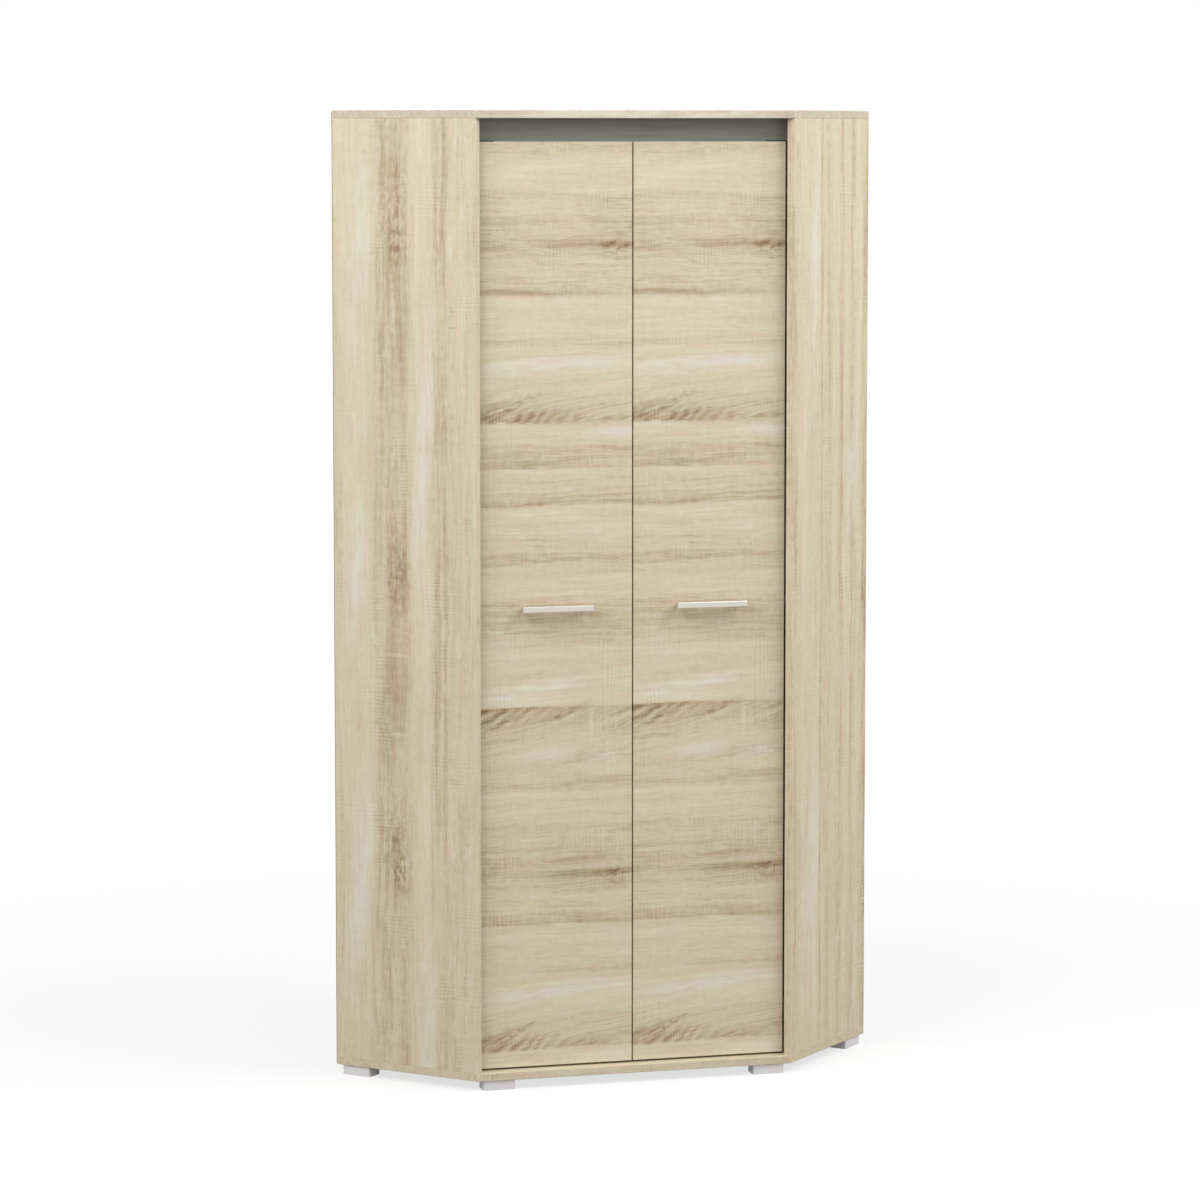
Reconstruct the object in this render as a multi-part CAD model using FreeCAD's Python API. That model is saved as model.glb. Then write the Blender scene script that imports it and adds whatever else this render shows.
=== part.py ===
import FreeCAD, Part
import math
import os

# Corner wardrobe in millimetres: +Z up, front towards -Y, origin under the middle of the overall box.

# Carcass
overall_height = 1950.0
wall_length = 800.0          # along each wall, from the rear corner
side_depth = 337.0           # side panel and back sheet
board = 16.0                 # thickness of every laminated board
back_sheet = 3.0             # thickness of the fibreboard backs
back_inset = 2.0             # the backs stop short of the outer faces
edge_bevel = 0.8             # on the banded edges
post_width = 32.0            # square post in the rear corner

# Feet
foot_height = 20.0
foot_length = 65.0
foot_width = 40.0
foot_end_inset = 13.0        # from the end of the edge that a foot stands under
foot_setback = 4.0           # from the face that a foot stands behind
foot_round = 4.0             # of the upright corners
foot_web = 4.0               # plastic left between a screw head and the board
foot_screw_spacing = 36.0
foot_screw_well = 4.5        # radius of the well that a screw goes up through

# Doors and the fascia above them
door_recess = 25.0           # the doors stand back from the front plane
door_gap = 3.0               # between the doors
door_side_lap = 1.5          # the doors reach behind the sides' inner corners
door_bottom_gap = 4.0
fascia_show = 46.0           # height of fascia seen above the doors
fascia_lap = 12.0            # height of fascia behind the doors
fascia_gap = 2.0             # between the doors' backs and the fascia
fascia_relief = 2.0          # above the doors' swinging corners
bumper_radius = 4.0
bumper_play = 0.3            # a closed door stops just short of its bumper
bumper_inset = 20.0          # from the door's free edge

# Handles
handle_length = 147.0
handle_height = 13.0
handle_thickness = 9.0
handle_projection = 26.0
handle_spacing = 128.0
handle_leg_radius = 5.0
handle_round = 3.0
handle_screw_radius = 2.0
handle_screw_depth = 8.0     # into the leg
handle_head_radius = 4.0
handle_head_height = 2.5

# Concealed hinges
hinges_per_door = 3
hinge_end_inset = 100.0      # from the door's top and bottom to the nearest hinge
door_opening = 100.0         # degrees
cup_radius = 17.5
cup_depth = 12.5
cup_edge = 9.5               # wood left between the cup and the door's edge
cup_wall = 1.5
cup_play = 0.05
cup_flange_length = 62.0
cup_flange_width = 20.0
cup_flange_thickness = 1.5
cup_screw_spacing = 48.0
cup_screw_offset = 5.0       # screws stand off the cup's centre, away from the door's edge
pin_radius = 1.5
pin_end_play = 0.5           # between a pin's ends and the wood
pin_inset = 16.5             # from the door's edge
pin_below_back = 7.0         # from the door's back face
pin_seat_play = 0.02
pin_running_play = 0.06
knuckle_radius = 3.2
arm_thickness = 2.5
arm_width = 12.0
arm_side_play = 0.5
arm_clearance = 1.5          # beside the door's rear corner, fully open
arm_sweep_clearance = 3.0    # behind the corner as it swings past
arm_bend = 4.0               # radius of the strip's middle line
arm_tail = 58.0              # length along the side
plate_height = 8.0
plate_length = 44.0
plate_width = 14.0
plate_from_bend = 8.0
plate_wing_length = 48.0
plate_wing_width = 13.0
plate_wing_thickness = 2.2
plate_screw_spacing = 32.0
clamp_radius = 2.0
clamp_depth = 5.0            # into the plate
clamp_head_radius = 3.8
clamp_head_height = 2.0
clamp_from_tail = 12.0

# Hat shelf and hanging rail
shelf_drop = 330.0           # clear height above the shelf
shelf_play = 0.5
shelf_behind_hinges = 5.0
shelf_pin_radius = 2.5
shelf_pin_length = 16.0
shelf_pin_depth = 8.0        # into the panel
shelf_pin_inset = 50.0       # from the shelf's corner
rail_setback = 330.0         # rail behind the front plane
rail_drop = 60.0             # rail's middle below the shelf
rail_length = 560.0
rail_height = 30.0
rail_width = 15.0
rail_wall = 1.0
rail_play = 0.1
rail_cap_lip = 2.0
rail_cap_plug = 10.0
bracket_inset = 70.0         # from the rail's ends
bracket_width = 12.0
bracket_ring = 3.0
bracket_neck = 8.0
bracket_flange_length = 52.0
bracket_flange_thickness = 2.5
bracket_screw_spacing = 36.0

# Fasteners
fastener_sides = 6           # small turned pieces are many-sided
round_sides = 12             # larger turned pieces
corner_facets = 2            # flats round a bend or a rounded corner
oval_facets = 6              # flats round each end of an oval
screw_radius = 1.75
screw_length = 14.0
screw_head_radius = 3.4
screw_head_height = 1.6
hole_play = 0.05
cam_radius = 7.5
cam_depth = 12.5
cam_setback = 34.0           # from the panel's end
cam_slot_width = 2.0
cam_slot_depth = 1.5
cam_inset = 60.0             # from the panel's edges
bolt_radius = 3.5
bolt_short_of_cam = 3.0      # bolt's tip from the cam's middle
bolt_thread_radius = 2.5
bolt_thread = 11.0
dowel_radius = 4.0
dowel_in_edge = 24.0
dowel_in_face = 11.0

# Worked-out places
ROOT2 = math.sqrt(2.0)
up = FreeCAD.Vector(0.0, 0.0, 1.0)
across = FreeCAD.Vector(1.0, 0.0, 0.0)
back = FreeCAD.Vector(0.0, 1.0, 0.0)
along = (back - across) * (1.0 / ROOT2)
inward = (back + across) * (1.0 / ROOT2)
origin = FreeCAD.Vector(0.0, 0.0, 0.0)
same_place = 1e-6            # lengths that differ by less are equal

front_width = (wall_length - side_depth) * ROOT2
corner_depth = side_depth * ROOT2 + front_width / 2.0
handle_proud = max(0.0, handle_projection - door_recess)
front_y = (handle_proud - corner_depth) / 2.0
front_corner = FreeCAD.Vector(-front_width / 2.0, front_y, 0.0)

panel_rear = side_depth - back_sheet
panel_low = foot_height + board
panel_high = overall_height - board
opening_half = front_width / 2.0 - board / ROOT2

door_width = opening_half + door_side_lap - door_gap / 2.0
door_low = panel_low + door_bottom_gap
door_high = panel_high - fascia_show
door_edge = -opening_half - door_side_lap
door_front = front_y + door_recess
door_back = door_front + board
door_middle = door_edge + door_width / 2.0
handle_z = (door_low + door_high) / 2.0

pin_x = door_edge + pin_inset
pin_y = door_back - pin_below_back
cup_x = door_edge + cup_edge + cup_radius
cup_flat = cup_radius * math.cos(math.pi / round_sides)
hinge_step = (door_high - door_low - 2.0 * hinge_end_inset) / (hinges_per_door - 1)
hinge_heights = [door_low + hinge_end_inset + i * hinge_step for i in range(hinges_per_door)]
arm_n = board + plate_height + arm_thickness / 2.0
corner_sweep = math.hypot(pin_inset, pin_below_back)
arm_run_y = pin_y + corner_sweep + arm_sweep_clearance + arm_thickness / 2.0
arm_bend_u = (arm_run_y - front_y) * ROOT2 - arm_n
plate_u = arm_bend_u + plate_from_bend + plate_length / 2.0
clamp_u = arm_bend_u + arm_tail - clamp_from_tail

shelf_low = panel_high - shelf_drop - board
shelf_front = front_y + (arm_bend_u + arm_tail + arm_n + arm_thickness) / ROOT2 + shelf_behind_hinges
shelf_pin_z = shelf_low - shelf_pin_radius
rail_y = front_y + rail_setback
rail_z = shelf_low - rail_drop
bracket_x = bracket_inset - rail_length / 2.0

nodes = {}
holes = {}


# Helpers

def left(u, n, z=0.0):
    """Point of the left half: u rearwards along the side's outer face, n inwards from it."""
    return front_corner + along * u + inward * n + up * z


def flip(point):
    """The same point on the other half."""
    return FreeCAD.Vector(-point.x, point.y, point.z)


def mirrored(shape):
    """The same piece on the other half."""
    return shape.mirror(origin, across)


def unchanged(shape):
    return shape


SIDES = {"left": unchanged, "right": mirrored}


def flat(points):
    """Face over a closed outline."""
    return Part.Face(Part.makePolygon(points + points[:1]))


def prism(points, low, high):
    """Upright block over a plan outline."""
    return flat([FreeCAD.Vector(p.x, p.y, low) for p in points]).extrude(up * (high - low))


def side_block(u, n, z):
    """Block square to the left side, from pairs of limits."""
    outline = [left(u[0], n[0]), left(u[1], n[0]), left(u[1], n[1]), left(u[0], n[1])]
    return prism(outline, z[0], z[1])


def box(x, y, z):
    """Block square to the front, from pairs of limits."""
    size = (x[1] - x[0], y[1] - y[0], z[1] - z[0])
    return Part.makeBox(*size, FreeCAD.Vector(x[0], y[0], z[0]))


def around(middle, size):
    """Pair of limits on both sides of a middle."""
    return (middle - size / 2.0, middle + size / 2.0)


def arc(centre, start, axis, turn):
    """Points of a bend: the start point turned about the centre in equal steps."""
    steps = [math.degrees(turn) * i / corner_facets for i in range(corner_facets + 1)]
    return [centre + FreeCAD.Rotation(axis, step).multVec(start - centre) for step in steps]


def oval(middle, lengthways, sideways, length, width):
    """Face with two straight sides and two many-sided ends."""
    radius = width / 2.0
    reach = length / 2.0 - radius
    turns = [math.pi * i / oval_facets for i in range(oval_facets + 1)]
    end = [lengthways * (reach + radius * math.sin(t)) + sideways * (radius * math.cos(t)) for t in turns]
    points = [middle + offset for offset in end] + [middle - offset for offset in end]
    return flat(points)


def edges_where(shape, chosen):
    """The edges whose two ends and middle pass the test."""
    edges = []
    for edge in shape.Edges:
        middle = edge.valueAt((edge.FirstParameter + edge.LastParameter) / 2.0)
        points = [vertex.Point for vertex in edge.Vertexes] + [middle]
        if all(chosen(point) for point in points):
            edges.append(edge)
    return edges


def bevelled(shape, chosen):
    return shape.makeChamfer(edge_bevel, edges_where(shape, chosen))


def close(a, b):
    return abs(a - b) < same_place


def drill(tool, *names):
    """Take the same hole out of each named piece."""
    for name in names:
        holes.setdefault(name, []).append(tool)


def turned(start, direction, steps, play=0.0, sides=fastener_sides):
    """Many-sided turned piece from steps of distance and radius along its axis."""
    turns = [math.pi * (2 * i + 1) / sides for i in range(sides)]
    rings = []
    for distance, radius in steps:
        reach = radius + play
        rings.append([FreeCAD.Vector(reach * math.cos(t), reach * math.sin(t), distance) for t in turns])
    faces = [flat(rings[0][::-1]), flat(rings[-1])]
    for near, far in zip(rings, rings[1:]):
        faces += [flat([near[i - 1], near[i], far[i], far[i - 1]]) for i in range(sides)]
    shape = Part.makeSolid(Part.makeShell(faces)).removeSplitter()
    shape.Placement = FreeCAD.Placement(start, FreeCAD.Rotation(up, direction))
    return shape


# Fasteners

def wood_screw(seat, direction, play=0.0):
    """Countersunk screw whose head is flush with the seat."""
    steps = [(0.0, screw_head_radius), (screw_head_height, screw_radius), (screw_length, screw_radius)]
    return turned(seat, direction, steps, play)


def headed_screw(seat, direction, head, shank, play=0.0):
    """Screw whose head stands on the seat; head and shank are radius and length."""
    steps = [(-head[1], head[0]), (0.0, head[0]), (0.0, shank[0]), (shank[1], shank[0])]
    return turned(seat, direction, steps, play)


def dowel(end, into_panel, play=0.0):
    """Peg across the joint between a panel's end and a board."""
    steps = [(-dowel_in_face, dowel_radius), (dowel_in_edge, dowel_radius)]
    return turned(end, into_panel, steps, play)


def cam_bolt(end, into_panel, play=0.0):
    """Bolt screwed into a board and reaching into the cam."""
    reach = cam_setback - bolt_short_of_cam
    steps = [(-bolt_thread, bolt_thread_radius), (0.0, bolt_thread_radius)]
    steps += [(0.0, bolt_radius), (reach, bolt_radius)]
    return turned(end, into_panel, steps, play)


def cam_pocket(end, into_panel, face, play=0.0):
    """Round block let into the panel's face across the bolt's tip."""
    shown = end + into_panel * cam_setback + face * (board / 2.0)
    return turned(shown, -face, [(0.0, cam_radius), (cam_depth, cam_radius)], play, round_sides)


def cam_lock(end, into_panel, face):
    """Cam with a driver slot in its face and a hole for the bolt."""
    shown = end + into_panel * cam_setback + face * (board / 2.0)
    slot = box(around(0.0, 2.0 * cam_radius), around(0.0, cam_slot_width), (-cam_slot_depth, 0.0))
    slot.Placement = FreeCAD.Placement(shown, FreeCAD.Rotation(up, face))
    return cam_pocket(end, into_panel, face).cut([slot, cam_bolt(end, into_panel, hole_play)])


# Boards

def board_outline():
    """Five-sided outline of the top and bottom boards."""
    half = [left(0.0, 0.0), left(panel_rear, 0.0)]
    corner = left(panel_rear, wall_length - back_sheet)
    return half + [corner] + [flip(point) for point in reversed(half)]


def banded(point):
    """On the front or a side, where the boards' edges are banded."""
    offset = FreeCAD.Vector(-abs(point.x), point.y, 0.0) - FreeCAD.Vector(front_corner)
    return close(point.y, front_y) or close(offset.dot(inward), 0.0)


def five_sided_board(low):
    shape = prism(board_outline(), low, low + board)
    upper = bevelled(shape, lambda p: banded(p) and close(p.z, low + board))
    return bevelled(upper, lambda p: banded(p) and close(p.z, low))


def side_panel():
    """Square-cut panel between the two boards."""
    shape = side_block((0.0, panel_rear), (0.0, board), (panel_low, panel_high))
    return bevelled(shape, lambda p: close((p - front_corner).dot(along), 0.0))


def fascia_outline():
    """Strip behind the doors' upper edge, its ends cut along the sides."""
    near = door_back + fascia_gap
    far = near + board
    half = []
    for y in (near, far):
        half.append(FreeCAD.Vector(-opening_half + board / ROOT2 - (y - front_y), y, 0.0))
    return [half[0], half[1], flip(half[1]), flip(half[0])]


nodes["top_panel"] = five_sided_board(panel_high)
nodes["bottom_panel"] = five_sided_board(foot_height)
for side, place in SIDES.items():
    nodes[side + "_side_panel"] = place(side_panel())
lap_half = -(pin_x + corner_sweep + arm_sweep_clearance)
lap_y = (door_back + fascia_gap, door_back + fascia_gap + board)
fascia_low = door_high + fascia_relief
lap = box((-lap_half, lap_half), lap_y, (door_high - fascia_lap, fascia_low))
nodes["fascia_rail"] = prism(fascia_outline(), fascia_low, panel_high).fuse(lap).removeSplitter()

post_u = (panel_rear - post_width, panel_rear)
post_n = (wall_length - back_sheet - post_width, wall_length - back_sheet)
nodes["rear_corner_post"] = side_block(post_u, post_n, (panel_low, panel_high))

sheet_u = (panel_rear, side_depth)
sheet_z = (foot_height + back_inset, overall_height - back_inset)
nodes["left_back_panel"] = side_block(sheet_u, (back_inset, wall_length), sheet_z)
nodes["right_back_panel"] = mirrored(side_block(sheet_u, (back_inset, wall_length - back_sheet), sheet_z))


# Cams, bolts and dowels between the boards

cams = []
bolts = []
dowels = []


def add_cam(place, end, into_panel, face, panel, board_name):
    cams.append(place(cam_lock(end, into_panel, face)))
    bolts.append(place(cam_bolt(end, into_panel)))
    drill(place(cam_pocket(end, into_panel, face, hole_play)), panel)
    drill(place(cam_bolt(end, into_panel, hole_play)), panel, board_name)


def add_dowel(place, end, into_panel, panel, board_name):
    dowels.append(place(dowel(end, into_panel)))
    drill(place(dowel(end, into_panel, hole_play)), panel, board_name)


ends = {"bottom_panel": (panel_low, up), "top_panel": (panel_high, -up)}
for side, place in SIDES.items():
    for board_name, (z, into_panel) in ends.items():
        for u in (cam_inset, panel_rear - cam_inset):
            end = left(u, board / 2.0, z)
            add_cam(place, end, into_panel, inward, side + "_side_panel", board_name)
        middle = left(panel_rear / 2.0, board / 2.0, z)
        add_dowel(place, middle, into_panel, side + "_side_panel", board_name)
    fascia_middle = door_back + fascia_gap + board / 2.0
    fascia_end = FreeCAD.Vector(-opening_half + cam_inset, fascia_middle, panel_high)
    add_cam(place, fascia_end, -up, back, "fascia_rail", "top_panel")
    fascia_dowel = FreeCAD.Vector(-opening_half / 2.0, fascia_middle, panel_high)
    add_dowel(place, fascia_dowel, -up, "fascia_rail", "top_panel")
for board_name, (z, into_panel) in ends.items():
    post_end = left(sum(post_u) / 2.0, sum(post_n) / 2.0, z)
    add_dowel(unchanged, post_end, into_panel, "rear_corner_post", board_name)
nodes["cam_locks"] = Part.makeCompound(cams)
nodes["cam_bolts"] = Part.makeCompound(bolts)
nodes["wooden_dowels"] = Part.makeCompound(dowels)


# Feet

screws = []


def add_screw(place, seat, direction, *names):
    screws.append(place(wood_screw(seat, direction)))
    drill(place(wood_screw(seat, direction, hole_play)), *names)


def foot(middle, lengthways, sideways):
    """Moulded block with rounded upright corners."""
    outline = []
    for way_long, way_side in ((1.0, 1.0), (-1.0, 1.0), (-1.0, -1.0), (1.0, -1.0)):
        end = lengthways * way_long
        edge = sideways * way_side
        centre = middle + end * (foot_length / 2.0 - foot_round) + edge * (foot_width / 2.0 - foot_round)
        first = end if way_long == way_side else edge
        last = edge if way_long == way_side else end
        outline += arc(centre, centre + first * foot_round, first.cross(last), math.pi / 2.0)
    return prism(outline, 0.0, foot_height)


def add_foot(name, place, middle, lengthways, sideways):
    nodes[name] = place(foot(middle, lengthways, sideways))
    for offset in around(0.0, foot_screw_spacing):
        below = middle + lengthways * offset
        well_top = foot_height - foot_web
        well = turned(below, up, [(0.0, foot_screw_well), (well_top, foot_screw_well)], 0.0, round_sides)
        drill(place(well), name)
        add_screw(place, below + up * well_top, up, name, "bottom_panel")


foot_in = foot_setback + foot_width / 2.0
foot_end = foot_end_inset + foot_length / 2.0
front_foot = FreeCAD.Vector(front_corner.x + foot_end, front_y + foot_in, 0.0)
side_foot = left(side_depth - foot_end, foot_in)
rear_foot_y = front_y + corner_depth - foot_length / 2.0 - foot_width / 2.0 - foot_end_inset
for side, place in SIDES.items():
    add_foot(side + "_front_foot", place, front_foot, across, back)
    add_foot(side + "_rear_foot", place, side_foot, along, inward)
add_foot("corner_foot", unchanged, FreeCAD.Vector(0.0, rear_foot_y, 0.0), across, back)


# Doors and handles

def door_panel():
    shape = box((door_edge, door_edge + door_width), (door_front, door_back), (door_low, door_high))
    front = bevelled(shape, lambda p: close(p.y, door_front))
    return bevelled(front, lambda p: close(p.y, door_back))


def handle():
    """Bar on two round legs."""
    bar_front = door_front - handle_projection
    bar_back = bar_front + handle_thickness
    bar = box(around(door_middle, handle_length), (bar_front, bar_back), around(handle_z, handle_height))
    bar = bar.makeFillet(handle_round, edges_where(bar, lambda p: close(p.y, bar_front)))
    bar = bevelled(bar, lambda p: close(p.y, bar_back))
    for x in around(door_middle, handle_spacing):
        foot_point = FreeCAD.Vector(x, door_front, handle_z)
        leg = [(0.0, handle_leg_radius), (handle_projection - handle_thickness, handle_leg_radius)]
        bar = bar.fuse(turned(foot_point, -back, leg, 0.0, round_sides))
    return bar.removeSplitter()


def handle_screw(x, play=0.0):
    """Screw from the inside of the door into a leg."""
    seat = FreeCAD.Vector(x, door_back, handle_z)
    head = (handle_head_radius, handle_head_height)
    return headed_screw(seat, -back, head, (handle_screw_radius, board + handle_screw_depth), play)


for side, place in SIDES.items():
    nodes[side + "_door_panel"] = place(door_panel())
    nodes[side + "_handle"] = place(handle())
    handle_screws = []
    for x in around(door_middle, handle_spacing):
        handle_screws.append(place(handle_screw(x)))
        drill(place(handle_screw(x, hole_play)), side + "_door_panel", side + "_handle")
    nodes[side + "_handle_screws"] = Part.makeCompound(handle_screws)

bumpers = []
bumper_z = door_high - fascia_lap / 2.0
for side, place in SIDES.items():
    seat = FreeCAD.Vector(-door_gap / 2.0 - bumper_inset, door_back + fascia_gap, bumper_z)
    steps = [(0.0, bumper_radius), (fascia_gap - bumper_play, bumper_radius)]
    bumpers.append(place(turned(seat, -back, steps, 0.0, round_sides)))
nodes["door_bumpers"] = Part.makeCompound(bumpers)


# Concealed hinges

def bent_strip(points, bend, thickness, width):
    """Strip of metal along a level path, each corner bent to one radius."""
    path = [points[0]]
    for before, corner, after in zip(points, points[1:], points[2:]):
        arriving = (corner - before).normalize()
        leaving = (after - corner).normalize()
        turn = arriving.getAngle(leaving)
        first = corner - arriving * (bend * math.tan(turn / 2.0))
        centre = corner + (leaving - arriving).normalize() * (bend / math.cos(turn / 2.0))
        path += arc(centre, first, arriving.cross(leaving), turn)
    path.append(points[-1])
    sideways = [up.cross(far - near).normalize() for near, far in zip(path, path[1:])]
    edge = []
    for before, after in zip(sideways[:1] + sideways, sideways + sideways[-1:]):
        edge.append((before + after) * (thickness / 2.0 / (1.0 + before.dot(after))))
    one = [point + offset for point, offset in zip(path, edge)]
    other = [point - offset for point, offset in zip(path, edge)]
    z = points[0].z
    return prism(one + other[::-1], z - width / 2.0, z + width / 2.0)


def arm_path(z):
    """From the pin towards the cup's middle, out of the cup, back over the edge and along the side."""
    corner_angle = math.atan2(pin_below_back, -pin_inset) - math.radians(door_opening)
    crank = corner_sweep * math.cos(corner_angle) + arm_clearance + arm_thickness / 2.0
    pin = FreeCAD.Vector(pin_x, pin_y, z)
    bend = left(arm_bend_u, arm_n, z)
    out = FreeCAD.Vector(pin_x + crank, arm_run_y, z)
    return [pin, pin + across * crank, out, bend, bend + along * arm_tail]


def clamp_screw(z, play=0.0):
    """Screw that clamps an arm's tail to its plate."""
    seat = left(clamp_u, arm_n + arm_thickness / 2.0, z)
    head = (clamp_head_radius, clamp_head_height)
    return headed_screw(seat, -inward, head, (clamp_radius, arm_thickness + clamp_depth), play)


def pin_bore(below, length, play, sides):
    """Many-sided hole whose flats clear the round pin by the play."""
    corner = (pin_radius + play) / math.cos(math.pi / sides)
    return turned(below, up, [(0.0, corner), (length, corner)], 0.0, sides)


def hinge_arm(z):
    """Strip rolled round the pin at one end."""
    strip = bent_strip(arm_path(z), arm_bend, arm_thickness, arm_width)
    below = FreeCAD.Vector(pin_x, pin_y, z - arm_width / 2.0)
    knuckle = turned(below, up, [(0.0, knuckle_radius), (arm_width, knuckle_radius)], 0.0, round_sides)
    bore = pin_bore(below, arm_width, pin_running_play, round_sides)
    return strip.fuse(knuckle).removeSplitter().cut(bore)


def hinge_plate(z):
    """Cross-shaped plate: a raised body under the arm and two screwed wings."""
    body = side_block(around(plate_u, plate_length), (board, board + plate_height), around(z, plate_width))
    seat = left(plate_u, board, z)
    wings = oval(seat, up, along, plate_wing_length, plate_wing_width)
    return body.fuse(wings.extrude(inward * plate_wing_thickness)).removeSplitter()


def cup_screw_seats(z):
    x = cup_x + cup_screw_offset
    y = door_back + cup_flange_thickness
    return [FreeCAD.Vector(x, y, height) for height in around(z, cup_screw_spacing)]


def cup_barrel(z, radius):
    """Round part of a hinge cup, from the door's back face inwards."""
    mouth = FreeCAD.Vector(cup_x, door_back, z)
    return turned(mouth, -back, [(0.0, radius), (cup_depth, radius)], 0.0, round_sides)


def hinge_cup(z):
    """Round cup let into the door, with a screwed flange, two cheeks for the pin and an open mouth."""
    flange_middle = FreeCAD.Vector(cup_x + cup_screw_offset, door_back, z)
    flange = oval(flange_middle, up, across, cup_flange_length, cup_flange_width)
    cup = cup_barrel(z, cup_radius - cup_play).fuse(flange.extrude(back * cup_flange_thickness))
    floor = FreeCAD.Vector(cup_x, door_back - cup_depth + cup_wall, z)
    inside = cup_radius - cup_wall
    well = turned(floor, back, [(0.0, inside), (cup_depth, inside)], 0.0, round_sides)
    slot = box(around(cup_x, 2.0 * cup_radius), (floor.y, floor.y + cup_depth),
               around(z, arm_width + 2.0 * arm_side_play))
    pin_start = FreeCAD.Vector(pin_x, pin_y, z - cup_radius)
    pin_hole = pin_bore(pin_start, 2.0 * cup_radius, pin_seat_play, fastener_sides)
    return cup.removeSplitter().cut([well.common(slot), pin_hole])


def hinge_pin(z):
    """Pin fixed in the cup's two cheeks and ending inside its round wall."""
    half = math.sqrt(cup_flat ** 2 - (cup_x - pin_x + pin_radius) ** 2) - pin_end_play
    return Part.makeCylinder(pin_radius, 2.0 * half, FreeCAD.Vector(pin_x, pin_y, z - half), up)


clamp_screws = []
for side, place in SIDES.items():
    pins = []
    cup_screws = []
    door = side + "_door_panel"
    panel = side + "_side_panel"
    for number, z in enumerate(hinge_heights, start=1):
        arm = f"{side}_hinge_arm_{number}"
        plate = f"{side}_hinge_plate_{number}"
        cup = f"{side}_hinge_cup_{number}"
        nodes[arm] = place(hinge_arm(z))
        nodes[plate] = place(hinge_plate(z))
        nodes[cup] = place(hinge_cup(z))
        pins.append(place(hinge_pin(z)))
        drill(place(cup_barrel(z, cup_radius)), door)
        clamp_screws.append(place(clamp_screw(z)))
        drill(place(clamp_screw(z, hole_play)), arm, plate)
        for seat in cup_screw_seats(z):
            cup_screws.append(place(wood_screw(seat, -back)))
            drill(place(wood_screw(seat, -back, hole_play)), cup, door)
        for height in around(z, plate_screw_spacing):
            seat = left(plate_u, board + plate_wing_thickness, height)
            add_screw(place, seat, -inward, plate, panel)
    nodes[side + "_hinge_pins"] = Part.makeCompound(pins)
    nodes[side + "_cup_screws"] = Part.makeCompound(cup_screws)
nodes["arm_clamp_screws"] = Part.makeCompound(clamp_screws)


# Hat shelf on its pins

def shelf_outline():
    """Inside of the carcass behind the hinges, notched round the post."""
    wing_n = board + shelf_play
    rear_u = panel_rear - shelf_play
    notch_n = post_n[0] - shelf_play
    front_u = (shelf_front - front_y) * ROOT2 - wing_n
    half = [left(front_u, wing_n), left(rear_u, wing_n), left(rear_u, notch_n)]
    notch = left(post_u[0] - shelf_play, notch_n)
    return half + [notch] + [flip(point) for point in reversed(half)]


shelf = prism(shelf_outline(), shelf_low, shelf_low + board)
nodes["hat_shelf"] = bevelled(shelf, lambda p: close(p.y, shelf_front))

shelf_pins = []
front_pin_u = (shelf_front - front_y) * ROOT2 - board + shelf_pin_inset
pin_starts = [
    (left(front_pin_u, board, shelf_pin_z), inward, "{}_side_panel"),
    (left(panel_rear - shelf_pin_inset, board, shelf_pin_z), inward, "{}_side_panel"),
    (left(post_u[0], sum(post_n) / 2.0, shelf_pin_z), -along, "rear_corner_post"),
]
for side, place in SIDES.items():
    for start, outwards, carrier in pin_starts:
        shown = shelf_pin_length - shelf_pin_depth
        steps = [(-shelf_pin_depth, shelf_pin_radius), (shown, shelf_pin_radius)]
        shelf_pins.append(place(turned(start, outwards, steps)))
        drill(place(turned(start, outwards, steps, hole_play)), carrier.format(side))
nodes["shelf_pins"] = Part.makeCompound(shelf_pins)


# Hanging rail under the shelf

def rail_face(x, height, width):
    return oval(FreeCAD.Vector(x, rail_y, rail_z), up, back, height, width)


def rail_end_cap():
    """Plug with a lip that closes the rail's left end."""
    end = -rail_length / 2.0
    lip = rail_face(end, rail_height, rail_width).extrude(-across * rail_cap_lip)
    bore_height = rail_height - 2.0 * (rail_wall + rail_play)
    bore_width = rail_width - 2.0 * (rail_wall + rail_play)
    plug = rail_face(end, bore_height, bore_width).extrude(across * rail_cap_plug)
    return lip.fuse(plug).removeSplitter()


def rail_bracket():
    """Flange under the shelf, neck and ring, on the left half."""
    span = around(bracket_x, bracket_width)
    x = span[0]
    ring_height = rail_height + 2.0 * (rail_play + bracket_ring)
    ring_width = rail_width + 2.0 * (rail_play + bracket_ring)
    ring = rail_face(x, ring_height, ring_width).extrude(across * bracket_width)
    neck = box(span, around(rail_y, bracket_neck), (rail_z, shelf_low))
    flange_z = (shelf_low - bracket_flange_thickness, shelf_low)
    flange = box(span, around(rail_y, bracket_flange_length), flange_z)
    eye = rail_face(x, rail_height + 2.0 * rail_play, rail_width + 2.0 * rail_play)
    return ring.fuse([neck, flange]).removeSplitter().cut(eye.extrude(across * bracket_width))


tube = rail_face(-rail_length / 2.0, rail_height, rail_width)
tube = tube.cut(rail_face(-rail_length / 2.0, rail_height - 2.0 * rail_wall, rail_width - 2.0 * rail_wall))
nodes["hanging_rail"] = tube.extrude(across * rail_length)
nodes["rail_end_caps"] = Part.makeCompound([place(rail_end_cap()) for place in SIDES.values()])
for side, place in SIDES.items():
    nodes["rail_bracket_" + side] = place(rail_bracket())
    for y in around(rail_y, bracket_screw_spacing):
        seat = FreeCAD.Vector(bracket_x, y, shelf_low - bracket_flange_thickness)
        add_screw(place, seat, up, "rail_bracket_" + side, "hat_shelf")
nodes["carcass_screws"] = Part.makeCompound(screws)


# Drill the pieces and write them

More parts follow.
